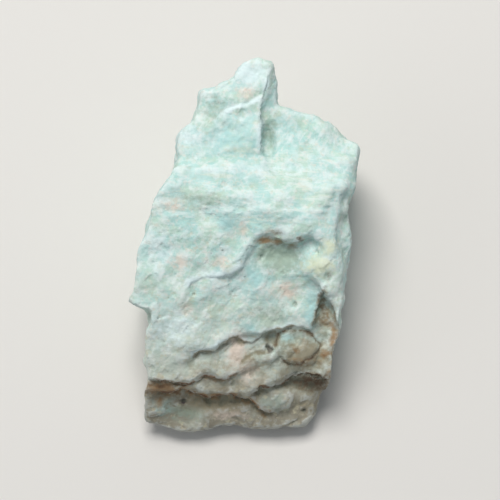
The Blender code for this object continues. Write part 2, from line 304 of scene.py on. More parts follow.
# %% Helpers that draw strokes and spots
STROKE_FADE = 0.12


def along(points, line):
    """Distance of each point from a line, positive on its left, and its place from 0 to 1 along it."""
    line = np.array(line)
    start, step = line[:-1], np.diff(line, axis=0)
    length = np.linalg.norm(step, axis=1)
    offset = points[:, None, :] - start
    share = np.clip((offset * step).sum(2) / length**2, 0, 1)
    gap = np.linalg.norm(offset - share[..., None] * step, axis=2)
    nearest = gap.argmin(1)
    row = np.arange(len(points))
    cross = step[:, 0] * offset[..., 1] - step[:, 1] * offset[..., 0]
    travelled = np.concatenate(([0], np.cumsum(length)))
    place = (travelled[nearest] + share[row, nearest] * length[nearest]) / travelled[-1]
    return np.where(cross[row, nearest] > 0, 1, -1) * gap[row, nearest], place


def ends_fade(place):
    """1 along a line, and fading to 0 at both its ends."""
    return np.minimum(steps(place, 0.0, STROKE_FADE), 1 - steps(place, 1 - STROKE_FADE, 1.0))


def spot(points, centre, half):
    """1 in the middle of an oval spot, fading to nothing at about twice its half sizes."""
    gap = ((points[:, 0] - centre[0]) / half[0]) ** 2 + ((points[:, 1] - centre[1]) / half[1]) ** 2
    return np.exp(-gap)


gap, place = along(np.array([[0.5, 1.0]]), ((0, 0), (2, 0)))
print("a point", gap[0], "mm left of a line lies", place[0], "of the way along it")

# %% [markdown]
# ## Soft forms of the face
# The biggest forms that the trimming has dulled come back first: the scoop under the lip, the pale
# bump beside it, the round top of the trough, and the shelter under the thin sheet. Each is an oval
# swell on the drawing. The drawing is shaken a little, in waves of SHAKEN's size and reach, because
# nothing on a broken stone is a true oval.

# %% Swell and sink the soft forms: centre, half sizes and height
SHAKEN = (1.6, 0.25)
SWELLS = {
    "scoop": ((3.7, -1.4), (2.4, 1.5), -0.42),
    "tongue above the scoop": ((4.8, 1.0), (0.7, 0.7), 0.25),
    "ridge right of the scoop": ((6.4, -3.0), (0.5, 1.4), 0.22),
    "pale bump": ((8.0, -2.3), (1.4, 1.0), 0.45),
    "hollow above the bump": ((7.8, -0.2), (1.3, 0.7), -0.25),
    "top of the trough": ((8.8, -5.2), (0.8, 1.1), 0.50),
    "oval scale": ((5.5, -11.0), (1.9, 1.3), 0.30),
    "recess": ((6.9, -15.0), (2.1, 0.8), -0.45),
    "end facet": ((3.1, -17.0), (1.3, 0.8), 0.20),
    "under the sheet": ((-3.1, -16.9), (3.6, 0.7), -0.40),
    "valley beside the tower": ((2.6, 11.0), (0.7, 1.9), -0.30),
}

sheet, drawn, facing = drawing(*SHAKEN)
push(facing * sum(height * spot(drawn, centre, half) for centre, half, height in SWELLS.values()))
print("shaped", len(SWELLS), "soft forms")

# %% [markdown]
# ## Ledges and cracks of the face
# Feldspar comes off in sheets, and each sheet ends in a ledge with a crisp upper edge and a dark
# foot. Each ledge is a line drawn on the face, with the high side on its left as the line runs. The
# skin beside it is raised on the high side and sunk at the foot, and both fade out over a short
# way, so the line becomes a small cliff. A real edge is ragged, so the drawing is shaken here in
# shorter waves. The bands across the upper half are broad soft steps of the same kind.

# %% The lines of the ledges: points, rise, drop, how far each fades, half width of the cliff
LEDGES = {
    "lip": (
        ((1.2, 0.3), (1.6, 0.9), (2.5, 1.2), (3.4, 1.3), (4.1, 1.0), (4.3, 0.2), (4.9, -0.1),
         (5.6, -0.2), (5.9, 0.6), (6.4, 0.7)),
        0.13, 0.06, 0.9, 0.8, 0.34,
    ),
    "fold": (
        ((-6.3, -5.7), (-6.2, -4.9), (-6.0, -4.2), (-5.4, -3.8), (-4.3, -3.5), (-3.2, -3.5),
         (-1.8, -3.5), (-1.0, -3.1), (-0.4, -2.6), (0.0, -1.9), (0.3, -1.4), (0.9, -0.6), (1.3, 0.1)),
        0.15, 0.08, 0.6, 0.8, 0.30,
    ),
    "near step": (
        ((-6.1, -13.3), (-5.9, -12.8), (-5.6, -12.1), (-5.0, -11.6), (-4.3, -11.4), (-3.2, -11.5),
         (-2.5, -10.8), (-1.8, -10.3), (-1.1, -9.9), (-0.2, -10.5), (0.8, -10.5), (1.5, -10.1),
         (2.1, -9.4), (3.1, -9.2), (4.0, -9.1), (5.0, -8.8), (6.1, -8.9), (7.1, -9.3)),
        0.15, 0.13, 0.5, 0.7, 0.14,
    ),
    "scalloped edge": (
        ((-10.4, -14.5), (-8.5, -14.7), (-7.3, -14.9), (-6.0, -15.0), (-5.2, -14.6), (-4.5, -14.2),
         (-3.5, -14.2), (-2.7, -14.5), (-1.9, -14.5), (-1.3, -14.0), (-0.4, -13.7)),
        0.12, 0.18, 0.4, 0.4, 0.08,
    ),
    "thin sheet": (
        ((-10.3, -15.8), (-8.3, -15.9), (-7.5, -15.7), (-6.8, -15.4), (-5.9, -15.7), (-4.8, -16.1),
         (-3.8, -16.4), (-2.7, -16.2), (-1.6, -16.0), (-0.8, -16.4), (0.2, -16.5), (0.9, -16.9),
         (1.4, -17.6), (2.1, -18.0), (3.8, -18.2)),
        0.24, 0.60, 0.5, 0.8, 0.10,
    ),
    "second sheet": (
        ((0.5, -16.3), (1.1, -15.8), (1.7, -15.3), (2.7, -15.3), (3.8, -15.1), (4.6, -14.5),
         (5.0, -14.0), (6.4, -13.9), (7.8, -13.9), (8.7, -14.4), (9.1, -15.0)),
        0.20, 0.50, 0.4, 0.7, 0.10,
    ),
    "trough": (
        ((7.1, -9.3), (7.4, -8.4), (7.7, -7.3), (7.9, -6.2), (8.2, -5.5), (8.6, -4.6), (9.1, -4.2)),
        0.14, 0.18, 0.5, 0.5, 0.10,
    ),
    "tower step": (
        ((2.1, 16.1), (1.3, 15.6), (0.3, 15.0), (-0.8, 14.7), (-2.0, 14.3), (-3.0, 13.6)),
        0.10, 0.10, 0.5, 0.6, 0.20,
    ),
    "tower shoulder": (
        ((-1.0, 18.3), (-1.3, 17.4), (-2.2, 16.7), (-3.3, 16.4), (-4.6, 16.3)),
        0.02, 0.16, 0.5, 0.6, 0.15,
    ),
    "tower side": (
        ((1.8, 9.3), (1.7, 10.8), (1.9, 12.7), (1.7, 14.2), (1.9, 15.7), (2.4, 17.2), (2.7, 18.4)),
        0.10, 0.22, 0.5, 0.8, 0.15,
    ),
    "high band": (
        ((10.8, 8.4), (8.6, 8.8), (5.9, 9.2), (3.2, 9.3), (1.8, 9.0), (0.0, 9.0), (-2.1, 8.7),
         (-4.3, 8.4), (-6.4, 7.7)),
        0.16, 0.16, 1.2, 1.2, 0.70,
    ),
    "middle band": (
        ((10.7, 6.7), (8.0, 6.4), (5.9, 6.1), (3.2, 5.7), (1.1, 6.0), (-1.6, 5.9)),
        0.12, 0.12, 0.9, 0.9, 0.50,
    ),
    "low band": (
        ((10.0, 3.4), (7.0, 3.9), (4.3, 3.6), (1.8, 4.1), (0.0, 3.5), (-2.1, 3.8), (-4.8, 3.3),
         (-7.5, 3.3), (-10.2, 3.0)),
        0.13, 0.13, 1.0, 1.0, 0.55,
    ),
}
print("drew", len(LEDGES), "ledges with", sum(len(ledge[0]) for ledge in LEDGES.values()), "points")

# %% Carve the ledges
RAGGED = (0.8, 0.15)

sheet, drawn, facing = drawing(*RAGGED)
relief = np.zeros(len(sheet))
for line, rise, drop, fade_high, fade_low, cliff in LEDGES.values():
    gap, place = along(drawn, line)
    high_side = steps(gap, -cliff, cliff)
    high = rise * np.exp(-np.abs(gap) / fade_high)
    low = drop * np.exp(-np.abs(gap) / fade_low)
    relief += ends_fade(place) * facing * (high_side * high - (1 - high_side) * low)
push(relief)
print("carved", len(LEDGES), "ledges, from", round(relief.min(), 2), "to", round(relief.max(), 2), "mm")

# %% [markdown]
# ## Open cracks
# Where a sheet has begun to lift, a fine crack follows its edge. The oval scale at the lower right
# has almost come off, so a crack runs round it. A crack is a line with a width and a depth. Its
# depth comes and goes, because crumbs have filled it here and there. A pit is a spot where a grain
# has dropped out.

# %% Open the cracks and pits: places, half width and depth
CRUMB_SIZE = 0.8
OPEN_MEAN = 0.65
OPEN_CHANGE = 0.5
CRACKS = {
    "round the oval scale": (
        ((3.0, -11.9), (3.4, -9.8), (3.9, -9.4), (4.8, -9.1), (5.9, -9.2), (7.0, -9.5), (7.6, -10.1),
         (8.1, -10.9), (7.9, -11.7), (7.3, -12.1), (6.7, -12.5), (5.9, -12.9), (4.8, -12.9),
         (4.1, -12.5), (3.3, -11.9)), 0.18, 0.22,
    ),
    "from the pit": (((2.6, -11.6), (1.1, -11.7), (0.2, -12.2), (-0.5, -13.1)), 0.20, 0.07),
    "left end": (((-10.3, -14.6), (-8.5, -14.75), (-7.3, -15.0), (-6.0, -15.1)), 0.12, 0.22),
}
PITS = {
    "beside the oval scale": ((2.7, -11.3), 0.38, 0.55),
    "above the oval scale": ((2.5, -10.1), 0.40, 0.15),
    "near end": ((-6.6, -16.9), 0.30, 0.45),
    "left face": ((-5.4, -5.4), 0.15, 0.25),
    "middle": ((5.4, -6.5), 0.20, 0.30),
    "foot of the bump": ((9.0, -3.5), 0.40, 0.30),
    "above the bump": ((7.5, -0.9), 0.22, 0.30),
    "edge of the scoop": ((1.8, -1.5), 0.22, 0.25),
    "near corner": ((6.4, -17.9), 0.25, 0.35),
}

sheet, drawn, facing = drawing(*RAGGED)
relief = np.zeros(len(sheet))
for line, width, depth in CRACKS.values():
    gap, place = along(drawn, line)
    relief -= depth * ends_fade(place) * np.exp(-((gap / width) ** 2))
relief *= OPEN_MEAN + OPEN_CHANGE * cloud(sheet, CRUMB_SIZE, seed=2.6)
for centre, radius, depth in PITS.values():
    relief -= depth * spot(drawn, centre, (radius, radius))
push(relief * facing)
print("opened", len(CRACKS), "cracks and", len(PITS), "pits")

# %% [markdown]
# ## Broken grain
# Between the ledges the fracture is never flat. Feldspar breaks into chips, each a small flat face
# with a tilt of its own, so the skin is divided into cells and every cell is tilted its own way.
# The chips are drawn out along the slant of the cleavage, and across the upper bands they lie level
# instead. Terraces are the low steps that run the same way. The sides and back are lumpier than the
# face, and rubble fills the sheltered places. Blender's noise vectors differ from one start of the
# program to the next, so they are given a seed, and the stone comes out the same each time.

# %% The sizes of the grain, in millimetres, and its rubble: centre, half sizes and height
GRAIN_SEED = 5
GRAIN_SLANT = math.radians(56)
BAND_SLANT = math.radians(-4)
# Up the face, the level bands fade in over the first of these stretches and out over the second.
BANDS = ((0.5, 3.0), (9.5, 11.0))
# Large and small chips: how wide they are and how steep.
CHIPS = ((1.5, 0.10), (0.60, 0.13))
CHIP_STRETCH = 1.7
CHIP_SPREAD = 4.3
TERRACE_SIZE = 1.3
TERRACE_STRETCH = 3.0
TERRACE_LEVELS = 4.0
TREAD_SHARE = 0.5
TERRACE_DEPTH = 0.045
SIDE_SIZE = 1.4
SIDE_DEPTH = 0.20
SMOOTH_HEIGHT = 0.4
SUGAR_SIZE = 0.55
SUGAR_DEPTH = 0.045
RUBBLE_SIZE = 0.9
RUBBLE = {
    "trough": ((8.6, -7.4), (0.8, 2.6), 0.18),
    "recess": ((6.9, -15.0), (2.2, 0.9), 0.18),
    "under the sheet": ((-3.1, -17.0), (4.0, 0.9), 0.18),
    "scoop": ((3.8, -0.8), (2.0, 0.8), 0.14),
    "beside the oval scale": ((8.4, -10.6), (0.8, 1.2), 0.18),
    "tower": ((-1.6, 13.2), (2.8, 4.0), 0.14),
    "left shoulder": ((-7.0, 9.0), (2.0, 3.5), 0.12),
}
print("the grain has", len(CHIPS), "sizes of chips and", len(RUBBLE), "places with rubble")


# %% Helpers that break the grain
def banded(points):
    """1 in the upper bands of the face, where the grain lies level, and 0 elsewhere."""
    (low_from, low_to), (high_from, high_to) = BANDS
    return steps(points[:, 1], low_from, low_to) * (1 - steps(points[:, 1], high_from, high_to))


def slanted(points, slant, stretch):
    """Sheet coordinates turned so that X runs along a slant, and squeezed that way."""
    along_x, along_y = math.cos(slant), math.sin(slant)
    turned = points.copy()
    turned[:, 0] = (points[:, 0] * along_x + points[:, 1] * along_y) / stretch
    turned[:, 1] = points[:, 1] * along_x - points[:, 0] * along_y
    return turned


def terraced(values):
    """Cuts a smooth height into level treads with short steep risers."""
    level = np.floor(values * TERRACE_LEVELS)
    rest = values * TERRACE_LEVELS - level
    return (level + steps(rest, TREAD_SHARE, 1.0)) / TERRACE_LEVELS


def chips(points, size, tilt):
    """Height in millimetres of small flat faces, each tilted its own way about its own centre."""
    heights = []
    for point in points:
        spread = Vector(point) / size
        centre = noise.voronoi(spread)[1][0]
        heights.append((spread - centre).dot(noise.noise_vector(centre * CHIP_SPREAD)))
    return tilt * size * np.array(heights)


def fracture(points, slant):
    """Chips and terraces whose grain runs along a slant."""
    drawn_out = slanted(points, slant, CHIP_STRETCH)
    relief = sum(chips(drawn_out, size, tilt) for size, tilt in CHIPS)
    drawn_out = slanted(points, slant, TERRACE_STRETCH)
    return relief + TERRACE_DEPTH * terraced(cloud(drawn_out, TERRACE_SIZE, octaves=4, seed=1.3))


print("heights of 0.1 to 0.4 are cut to", terraced(np.array([0.1, 0.2, 0.3, 0.4])).round(3))

# %% Roughen the whole skin
noise.seed_set(GRAIN_SEED)
sheet, drawn, facing = drawing(*SHAKEN)
aslant = fracture(sheet, GRAIN_SLANT)
relief = aslant + banded(sheet) * (fracture(sheet, BAND_SLANT) - aslant)
relief += SIDE_DEPTH * (1 - facing) * cloud(sheet, SIDE_SIZE, octaves=4, seed=3.9)
relief += SUGAR_DEPTH * cloud(sheet, SUGAR_SIZE, octaves=3, seed=9.4)
rubble = np.max([depth * spot(drawn, centre, half) for centre, half, depth in RUBBLE.values()], axis=0)
relief += rubble * cloud(sheet, RUBBLE_SIZE, octaves=4, seed=5.9)
push(relief * steps(read(skin.vertices, "co", 3)[:, 2] / MM, 0.0, SMOOTH_HEIGHT))
print("the skin now spans", [round(c, 4) for c in np.ptp(read(skin.vertices, "co", 3), axis=0)])

# %% [markdown]
# ## A flat spot to rest on
# The roughening dies away near the floor, and whatever still hangs below it is pressed level, so the
# stone keeps its flat resting spot. Then the skin is thinned to a size that other programs can load:
# the thinning takes cells out of the smooth parts first and keeps the crisp ones.

# %% Level the rest and thin the skin
TRIANGLE_LIMIT = 196000

places = read(skin.vertices, "co", 3)
places[:, 2] = np.maximum(places[:, 2], 0)
skin.vertices.foreach_set("co", places.ravel())
bpy.ops.object.mode_set(mode="EDIT")
bpy.ops.mesh.select_all(action="SELECT")
bpy.ops.mesh.quads_convert_to_tris()
bpy.ops.object.mode_set(mode="OBJECT")
thin = stone.modifiers.new("thin", "DECIMATE")
thin.ratio = min(1.0, TRIANGLE_LIMIT / len(stone.data.polygons))
bpy.ops.object.modifier_apply(modifier=thin.name)
bpy.ops.object.shade_smooth()
print("the stone has", len(stone.data.polygons), "triangles")

# %% [markdown]
# ## Where the colours lie
# Most of the stone's colour is noise, but some of it has a cause. Iron has crept out of the cracks
# as umber and ochre, the near end has weathered olive, and a few patches are peach or lemon feldspar.
# Some paints are painted light as well: olive is painted shadow under the sheets, olive and umber are
# painted shade in the recess and the trough, dark mint is painted shade in the scoop, and the pits are
# painted nearly black as painted shade. Edges that took a knock are bruised white, and some of that
# white is painted highlight on edges that catch the light. Each colour's mask is painted on the
# drawing with strokes along the ledges and with soft oval dabs, and is stored on the vertices for the
# material. A stroke's reach is how far it spreads on the low side of its line, and on the high side it
# spreads half as far. A negative reach swaps the two sides.

# %% The paints: strokes and their reach, and dabs with centre, half sizes and strength
PAINTS = {
    # Painted highlight and real bruising: the white strokes along the high sides of the ledges, and the
    # dabs on the high band and the right edge, brighten edges and treads where the light catches them;
    # the other dabs whiten bruised spots.
    "bruise_and_highlight": ({
        "lip": -0.4, "fold": -0.6, "near step": -0.5, "scalloped edge": -0.25, "thin sheet": -0.25,
        "second sheet": -0.3, "tower step": -0.5, "tower side": -0.4, "trough": -0.35,
    }, {
        "left shoulder": ((-6.0, 11.5), (1.3, 1.7), 0.5),
        "left face": ((-9.2, -1.0), (1.6, 3.2), 0.45),
        "left corner": ((-7.5, -9.2), (3.0, 2.4), 0.55),
        "tip": ((0.5, 18.3), (2.0, 1.5), 0.8),
        "high band": ((1.0, 8.0), (7.0, 0.8), 0.45),
        "right edge": ((10.0, 5.5), (1.0, 3.0), 0.3),
        "trough crumbs": ((9.1, -6.0), (0.5, 0.9), 0.5),
    }),
    "aqua": ({}, {
        "bluish spot": ((-1.9, 2.3), (1.2, 1.0), 0.8),
        "strip by the trough": ((7.2, -7.1), (0.9, 2.3), 0.8),
        "end facet": ((3.1, -17.0), (1.5, 1.0), 0.5),
        "inside the fold": ((1.0, -3.6), (0.9, 1.5), 0.7),
        "oval scale": ((4.5, -10.1), (1.0, 0.7), 0.8),
        "tower": ((-1.4, 11.2), (2.6, 1.8), 0.7),
        "left end": ((-8.6, -17.4), (1.4, 1.0), 0.5),
        "above the near step": ((0.6, -9.0), (1.6, 0.8), 0.5),
    }),
    # Painted shade: the dark mint dabs in the scoop and beside the tower darken those hollows where shade
    # falls; the other mint dabs tint the stone green.
    "mint_and_shade": ({}, {
        "below the high band": ((-5.4, 4.8), (3.4, 1.1), 0.45),
        "scoop": ((3.8, -1.4), (2.6, 1.7), 1.0),
        "near face": ((2.5, -7.5), (2.5, 1.4), 0.5),
        "left of the tower": ((-3.5, 14.3), (1.5, 1.8), 0.5),
        "beside the tower": ((2.6, 11.6), (0.8, 2.0), 0.6),
        "near end": ((-6.0, -18.0), (2.6, 1.0), 0.6),
        "oval scale": ((4.6, -11.0), (1.4, 1.2), 0.5),
    }),
    "lemon": ({}, {
        "bump": ((8.0, -2.3), (1.6, 1.2), 0.9),
        "above the bump": ((9.0, -0.2), (0.9, 1.0), 0.7),
    }),
    "peach": ({}, {
        "tower": ((0.1, 16.3), (1.4, 0.8), 0.5),
        "left band": ((-7.8, 4.1), (1.5, 0.8), 0.5),
        "left face": ((-7.0, -1.9), (1.1, 0.8), 0.7),
        "inside left": ((-2.5, -1.9), (1.0, 0.9), 0.6),
        "above the fold": ((-0.2, 1.5), (0.6, 1.0), 0.5),
        "middle": ((4.5, -5.0), (1.1, 1.1), 0.7),
        "below the scoop": ((3.0, -4.8), (0.9, 0.8), 0.4),
        "left low": ((-6.3, -6.7), (0.6, 0.9), 0.5),
        "near step": ((-0.9, -11.4), (1.1, 1.9), 1.0),
        "under the step": ((0.3, -13.7), (1.1, 1.2), 0.8),
        "near end": ((-2.0, -18.2), (2.4, 0.7), 0.5),
    }),
    # Real colour and painted shadow: the olive strokes along the thin and second sheets, and the dabs in
    # the recess, under the sheet and in the trough, darken the feet of the ledges and the hollows where
    # shade falls; the rest of the olive is the weathered colour of the stone.
    "olive_and_shade": ({
        "thin sheet": 0.7, "second sheet": 0.8, "trough": 0.5, "round the oval scale": 0.50,
        "near step": 0.35, "from the pit": 0.35,
    }, {
        "trough": ((8.5, -8.0), (0.9, 2.1), 0.8),
        "oval scale": ((6.5, -12.0), (3.1, 2.0), 0.95),
        "middle of the oval scale": ((5.6, -11.3), (0.9, 0.5), 0.9),
        "end facet": ((3.1, -17.0), (1.6, 1.0), 0.45),
        "near corner": ((7.0, -17.2), (2.0, 1.2), 0.35),
        "below the near step": ((-3.0, -13.0), (2.8, 0.9), 0.4),
        "before the oval scale": ((1.0, -12.6), (2.6, 1.4), 0.45),
        "recess": ((6.9, -14.9), (2.3, 1.1), 1.0),
        "under the sheet": ((-3.1, -16.9), (4.4, 1.0), 1.0),
        "thin sheet": ((-2.0, -15.3), (4.2, 0.8), 0.3),
        "left crack": ((-8.6, -15.2), (2.1, 0.6), 0.5),
        "above the oval scale": ((2.5, -10.1), (0.7, 0.9), 0.6),
        "lip": ((2.9, 1.2), (1.2, 0.45), 0.55),
        "tail of the lip": ((5.0, -0.1), (1.0, 0.35), 0.65),
        "end of the lip": ((6.0, 0.6), (0.45, 0.45), 0.7),
    }),
    "ochre": ({"thin sheet": 0.45, "scalloped edge": 0.40}, {
        "lip": ((2.1, 0.4), (0.9, 0.40), 1.0),
        "end of the lip": ((3.5, 0.3), (0.7, 0.40), 0.7),
        "right edge": ((9.5, -9.5), (0.45, 3.0), 0.75),
        "trough": ((8.8, -7.6), (0.5, 1.6), 0.4),
        "right rim": ((8.6, -11.8), (0.5, 0.4), 1.0),
        "left end": ((-9.1, -16.9), (0.5, 0.8), 0.7),
        "left crack": ((-8.9, -15.4), (2.1, 0.8), 1.0),
        "oval scale": ((5.5, -11.4), (0.5, 0.35), 0.6),
        "foot of the oval scale": ((6.2, -12.7), (2.0, 0.5), 0.4),
        "near edge": ((9.2, -14.5), (0.5, 1.4), 0.5),
    }),
    # Mostly iron stain along the cracks, and partly painted shade: the umber dabs in the recess and the
    # trough darken those hollows where shade falls.
    "umber_and_shade": ({
        "thin sheet": 0.15, "scalloped edge": 0.13, "left end": 0.20, "second sheet": 0.20,
        "round the oval scale": 0.16,
    }, {
        "left crack": ((-9.0, -15.2), (1.6, 0.22), 0.6),
        "foot of the left crack": ((-8.4, -15.9), (1.8, 0.22), 0.65),
        "recess": ((7.3, -14.8), (1.8, 0.8), 0.85),
        "trough": ((8.3, -6.9), (0.5, 1.8), 0.6),
    }),
    # Painted shade: the pits are painted nearly black, as they look in shade.
    "pit_shade": ({}, {
        "beside the oval scale": ((2.7, -11.3), (0.40, 0.50), 1.0),
        "near end": ((-6.6, -16.9), (0.35, 0.35), 1.0),
        "left face": ((-5.4, -5.4), (0.16, 0.16), 0.7),
        "middle": ((5.4, -6.5), (0.2, 0.3), 0.5),
        "foot of the bump": ((9.0, -3.5), (0.35, 0.4), 0.6),
        "end of the lip": ((5.9, 0.5), (0.3, 0.35), 0.5),
        "near corner": ((6.4, -17.9), (0.3, 0.25), 0.8),
    }),
}
print("the palette has", len(PAINTS), "paints")

# %% Paint the masks
STROKES = {name: parts[0] for name, parts in {**LEDGES, **CRACKS}.items()}
STROKE_PATCHES = 1.3
STROKE_FAINTEST = 0.35
FAINT_BELOW = -0.45
STRONG_ABOVE = 0.35


def store(name, values):
    """Keeps one number on every vertex, for the material to read."""
    layer = skin.attributes.new(name, "FLOAT", "POINT")
    layer.data.foreach_set("value", np.clip(values, 0, 1).astype(np.float32))


skin = stone.data
sheet, drawn, facing = drawing(*RAGGED)
patches = steps(cloud(sheet, STROKE_PATCHES, seed=6.2), FAINT_BELOW, STRONG_ABOVE)
patchy = STROKE_FAINTEST + (1 - STROKE_FAINTEST) * patches
for paint, (strokes, dabs) in PAINTS.items():
    mask = np.zeros(len(sheet))
    for name, reach in strokes.items():
        gap, place = along(drawn, STROKES[name])
        spread = np.where(gap * reach < 0, reach, 0.5 * reach)
        mask = np.maximum(mask, patchy * ends_fade(place) * np.exp(-((gap / spread) ** 2)))
    for centre, half, strength in dabs.values():
        mask = np.maximum(mask, strength * spot(drawn, centre, half))
    store(paint, mask * facing)
print("painted", len(PAINTS), "masks")

# %% [markdown]
# Three more masks need no painting. Weathering grows towards the near end. The bands are where the
# grain lies level. Wear is high on edges that stand out, which are bruised white, and low in
# hollows, which are darkened.

# %% Masks of weathering, bands and wear
WEATHER_FROM = -1.0
WEATHER_TO = -18.0
WEAR_REACH = 8
WEAR_SCALE = 6.0
EVEN_WEAR = 0.5

store("weather", steps(-sheet[:, 1], -WEATHER_FROM, -WEATHER_TO))
store("banded", banded(sheet))
places = read(skin.vertices, "co", 3).astype(float)
levelled = places
for _ in range(WEAR_REACH):
    levelled = neighbour_mean(levelled)
standing_out = ((places - levelled) * read(skin.vertices, "normal", 3)).sum(1) / MM
store("wear", EVEN_WEAR + WEAR_SCALE * standing_out)
print("edges stand out by up to", round(standing_out.max(), 3), "mm")

# %% [markdown]
# ## A small language for the material
# A material is a graph of nodes, and a long graph is hard to read in code. These two classes make
# the arithmetic readable: a Field is one output of the graph, and adding or multiplying two Fields
# adds the Math node that does it. Any other kind of node comes from one method.

# %% Classes that write node graphs as expressions
class Field:
    """A number, colour or vector that changes over the surface."""

    def __init__(self, finish, socket):
        self.finish = finish
        self.socket = socket

    def _math(self, operation, first, second):
        return self.finish.node("ShaderNodeMath", {"operation": operation}, {0: first, 1: second})

    def __add__(self, other):
        return self._math("ADD", self, other)

    def __radd__(self, other):
        return self._math("ADD", other, self)

    def __sub__(self, other):
        return self._math("SUBTRACT", self, other)

    def __rsub__(self, other):
        return self._math("SUBTRACT", other, self)

    def __mul__(self, other):
        return self._math("MULTIPLY", self, other)

    def __rmul__(self, other):
        return self._math("MULTIPLY", other, self)


# %% A material that is written with Fields
STREAK_DETAIL = 4
STREAK_ROUGHNESS = 0.6


class Finish:
    """A material whose graph is written with Fields."""

    def __init__(self, name):
        self.material = bpy.data.materials.new(name)
        self.material.use_nodes = True
        self.tree = self.material.node_tree
        self.surface = self.tree.nodes["Principled BSDF"]

    def node(self, kind, settings, sockets, output=0):
        """Any node: its type, its settings, then the values or Fields of its sockets."""
        made = self.tree.nodes.new(kind)
        for name, value in settings.items():
            setattr(made, name, value)
        for name, value in sockets.items():
            self.feed(made.inputs[name], value)
        return Field(self, made.outputs[output])

    def feed(self, socket, value):
        """Links a Field to a socket, or sets a plain value on it."""
        if isinstance(value, Field):
            self.tree.links.new(value.socket, socket)
        else:
            socket.default_value = value

    def attribute(self, name):
        """A mask that is stored on the vertices."""
        return self.node("ShaderNodeAttribute", {"attribute_name": name}, {}, output="Fac")

    def smooth_step(self, value, low, high):
        """0 below low, 1 above high, and an even S-curve between."""
        return self.node(
            "ShaderNodeMapRange",
            {"interpolation_type": "SMOOTHSTEP"},
            {"Value": value, "From Min": low, "From Max": high},
        )

    def mix(self, share, first, second):
        """One colour fading into another. A Mix node's colours are its sockets 6 and 7, and 2 out."""
        return self.node(
            "ShaderNodeMix", {"data_type": "RGBA"}, {0: share, 6: first, 7: second}, output=2
        )

    def noise(self, where, size, detail, roughness, distortion=0.0):
        """Soft noise between 0 and 1, whose lumps are about this size in millimetres."""
        return self.node(
            "ShaderNodeTexNoise", {},
            {"Vector": where, "Scale": 1 / (size * MM), "Detail": detail, "Roughness": roughness,
             "Distortion": distortion},
        )

    def streaks(self, where, slant, size, stretch):
        """Noise drawn out along a slant across the face."""
        # The TEXTURE kind of mapping turns the noise after it is stretched, as one would turn paper.
        laid = self.node(
            "ShaderNodeMapping", {"vector_type": "TEXTURE"},
            {"Vector": where, "Rotation": (LEAN, 0, slant), "Scale": (stretch, 1, 1)},
        )
        return self.noise(laid, size, STREAK_DETAIL, STREAK_ROUGHNESS)


# %% [markdown]
# ## The patterns in the mineral
# Each colour of the stone comes in patches of its own size: broad drifts, small bruises, specks and
# grit. Each is one noise with lumps of that size, so the patches never repeat. Albite runs through
# amazonite in thin streaks, which are noise drawn out along the slant of the cleavage, or level
# where the grain lies in bands.

# %% The patterns: lump size, detail, roughness and distortion
PATTERNS = {
    "depths": (4.2, 4, 0.55, 0.6),
    "drifts": (2.6, 4, 0.55, 0.4),
    "bruises": (1.2, 5, 0.60, 0.0),
    "flecks": (0.8, 4, 0.65, 0.0),
    "grit": (0.7, 5, 0.65, 0.0),
    "specks": (0.55, 4, 0.55, 0.0),
    "crumbs": (0.28, 4, 0.60, 0.0),
}
STREAK_SIZE = 0.5
SLANT_STRETCH = 4
BAND_STRETCH = 5
LAYER_SIZE = 0.9
LAYER_STRETCH = 7

amazonite = Finish("rough amazonite")
where = amazonite.node("ShaderNodeTexCoord", {}, {}, output="Object")
patterns = {name: amazonite.noise(where, *look) for name, look in PATTERNS.items()}
in_bands = amazonite.attribute("banded")
slant_streaks = amazonite.streaks(where, GRAIN_SLANT, STREAK_SIZE, SLANT_STRETCH)
band_streaks = amazonite.streaks(where, BAND_SLANT, STREAK_SIZE, BAND_STRETCH)
patterns["streaks"] = slant_streaks + in_bands * (band_streaks - slant_streaks)
patterns["layers"] = amazonite.streaks(where, BAND_SLANT, LAYER_SIZE, LAYER_STRETCH)
print("made", len(patterns), "patterns")

# %% [markdown]
# ## The colours of the fresh stone
# Fresh amazonite is a pale aqua, deeper in places, and it drifts to mint. It is whiter where the
# cleavage has bruised it and along the streaks of albite. A painter would lay such colours as thin
# washes over the ground colour, and so does the material: a wash shows where its pattern is high,
# from nothing at the start to its full strength. Colours are linear light, as a renderer counts it.

# %% Wash the fresh stone: pattern, start, full, strength and colour
AQUA = (0.49, 0.71, 0.68, 1)
DEEP = (0.39, 0.64, 0.60, 1)
MINT = (0.50, 0.67, 0.56, 1)
WHITE = (0.77, 0.85, 0.84, 1)
CREAM = (0.78, 0.79, 0.66, 1)
ROSE = (0.80, 0.76, 0.71, 1)
LAYERS_ANYWHERE = 0.1
LAYERS_IN_BANDS = 0.35
WASHES = (
    ("depths", 0.42, 0.62, 0.8, DEEP),
    ("drifts", 0.46, 0.62, 0.8, MINT),
    ("bruises", 0.46, 0.64, 0.6, WHITE),
    ("streaks", 0.52, 0.66, 0.5, WHITE),
    ("layers", 0.54, 0.68, LAYERS_ANYWHERE + LAYERS_IN_BANDS * in_bands, CREAM),
    ("specks", 0.53, 0.68, 0.45, ROSE),
)


def wash(under, pattern, start, full, strength, over):
    """Lays a colour over another where a pattern is high."""
    return amazonite.mix(amazonite.smooth_step(pattern, start, full) * strength, under, over)


colour = AQUA
for name, start, full, strength, tint in WASHES:
    colour = wash(colour, patterns[name], start, full, strength, tint)
print("laid", len(WASHES), "washes")

# %% [markdown]
# ## Weather and wear
# Towards the near end the stone goes grey-green, and its very end goes dark brown in ragged patches,
# partly the stone's own brown and partly painted shade of the end, which turns away from the light.
# Khaki flecks come through everywhere, and more of them there. Edges that stand out are worn white.

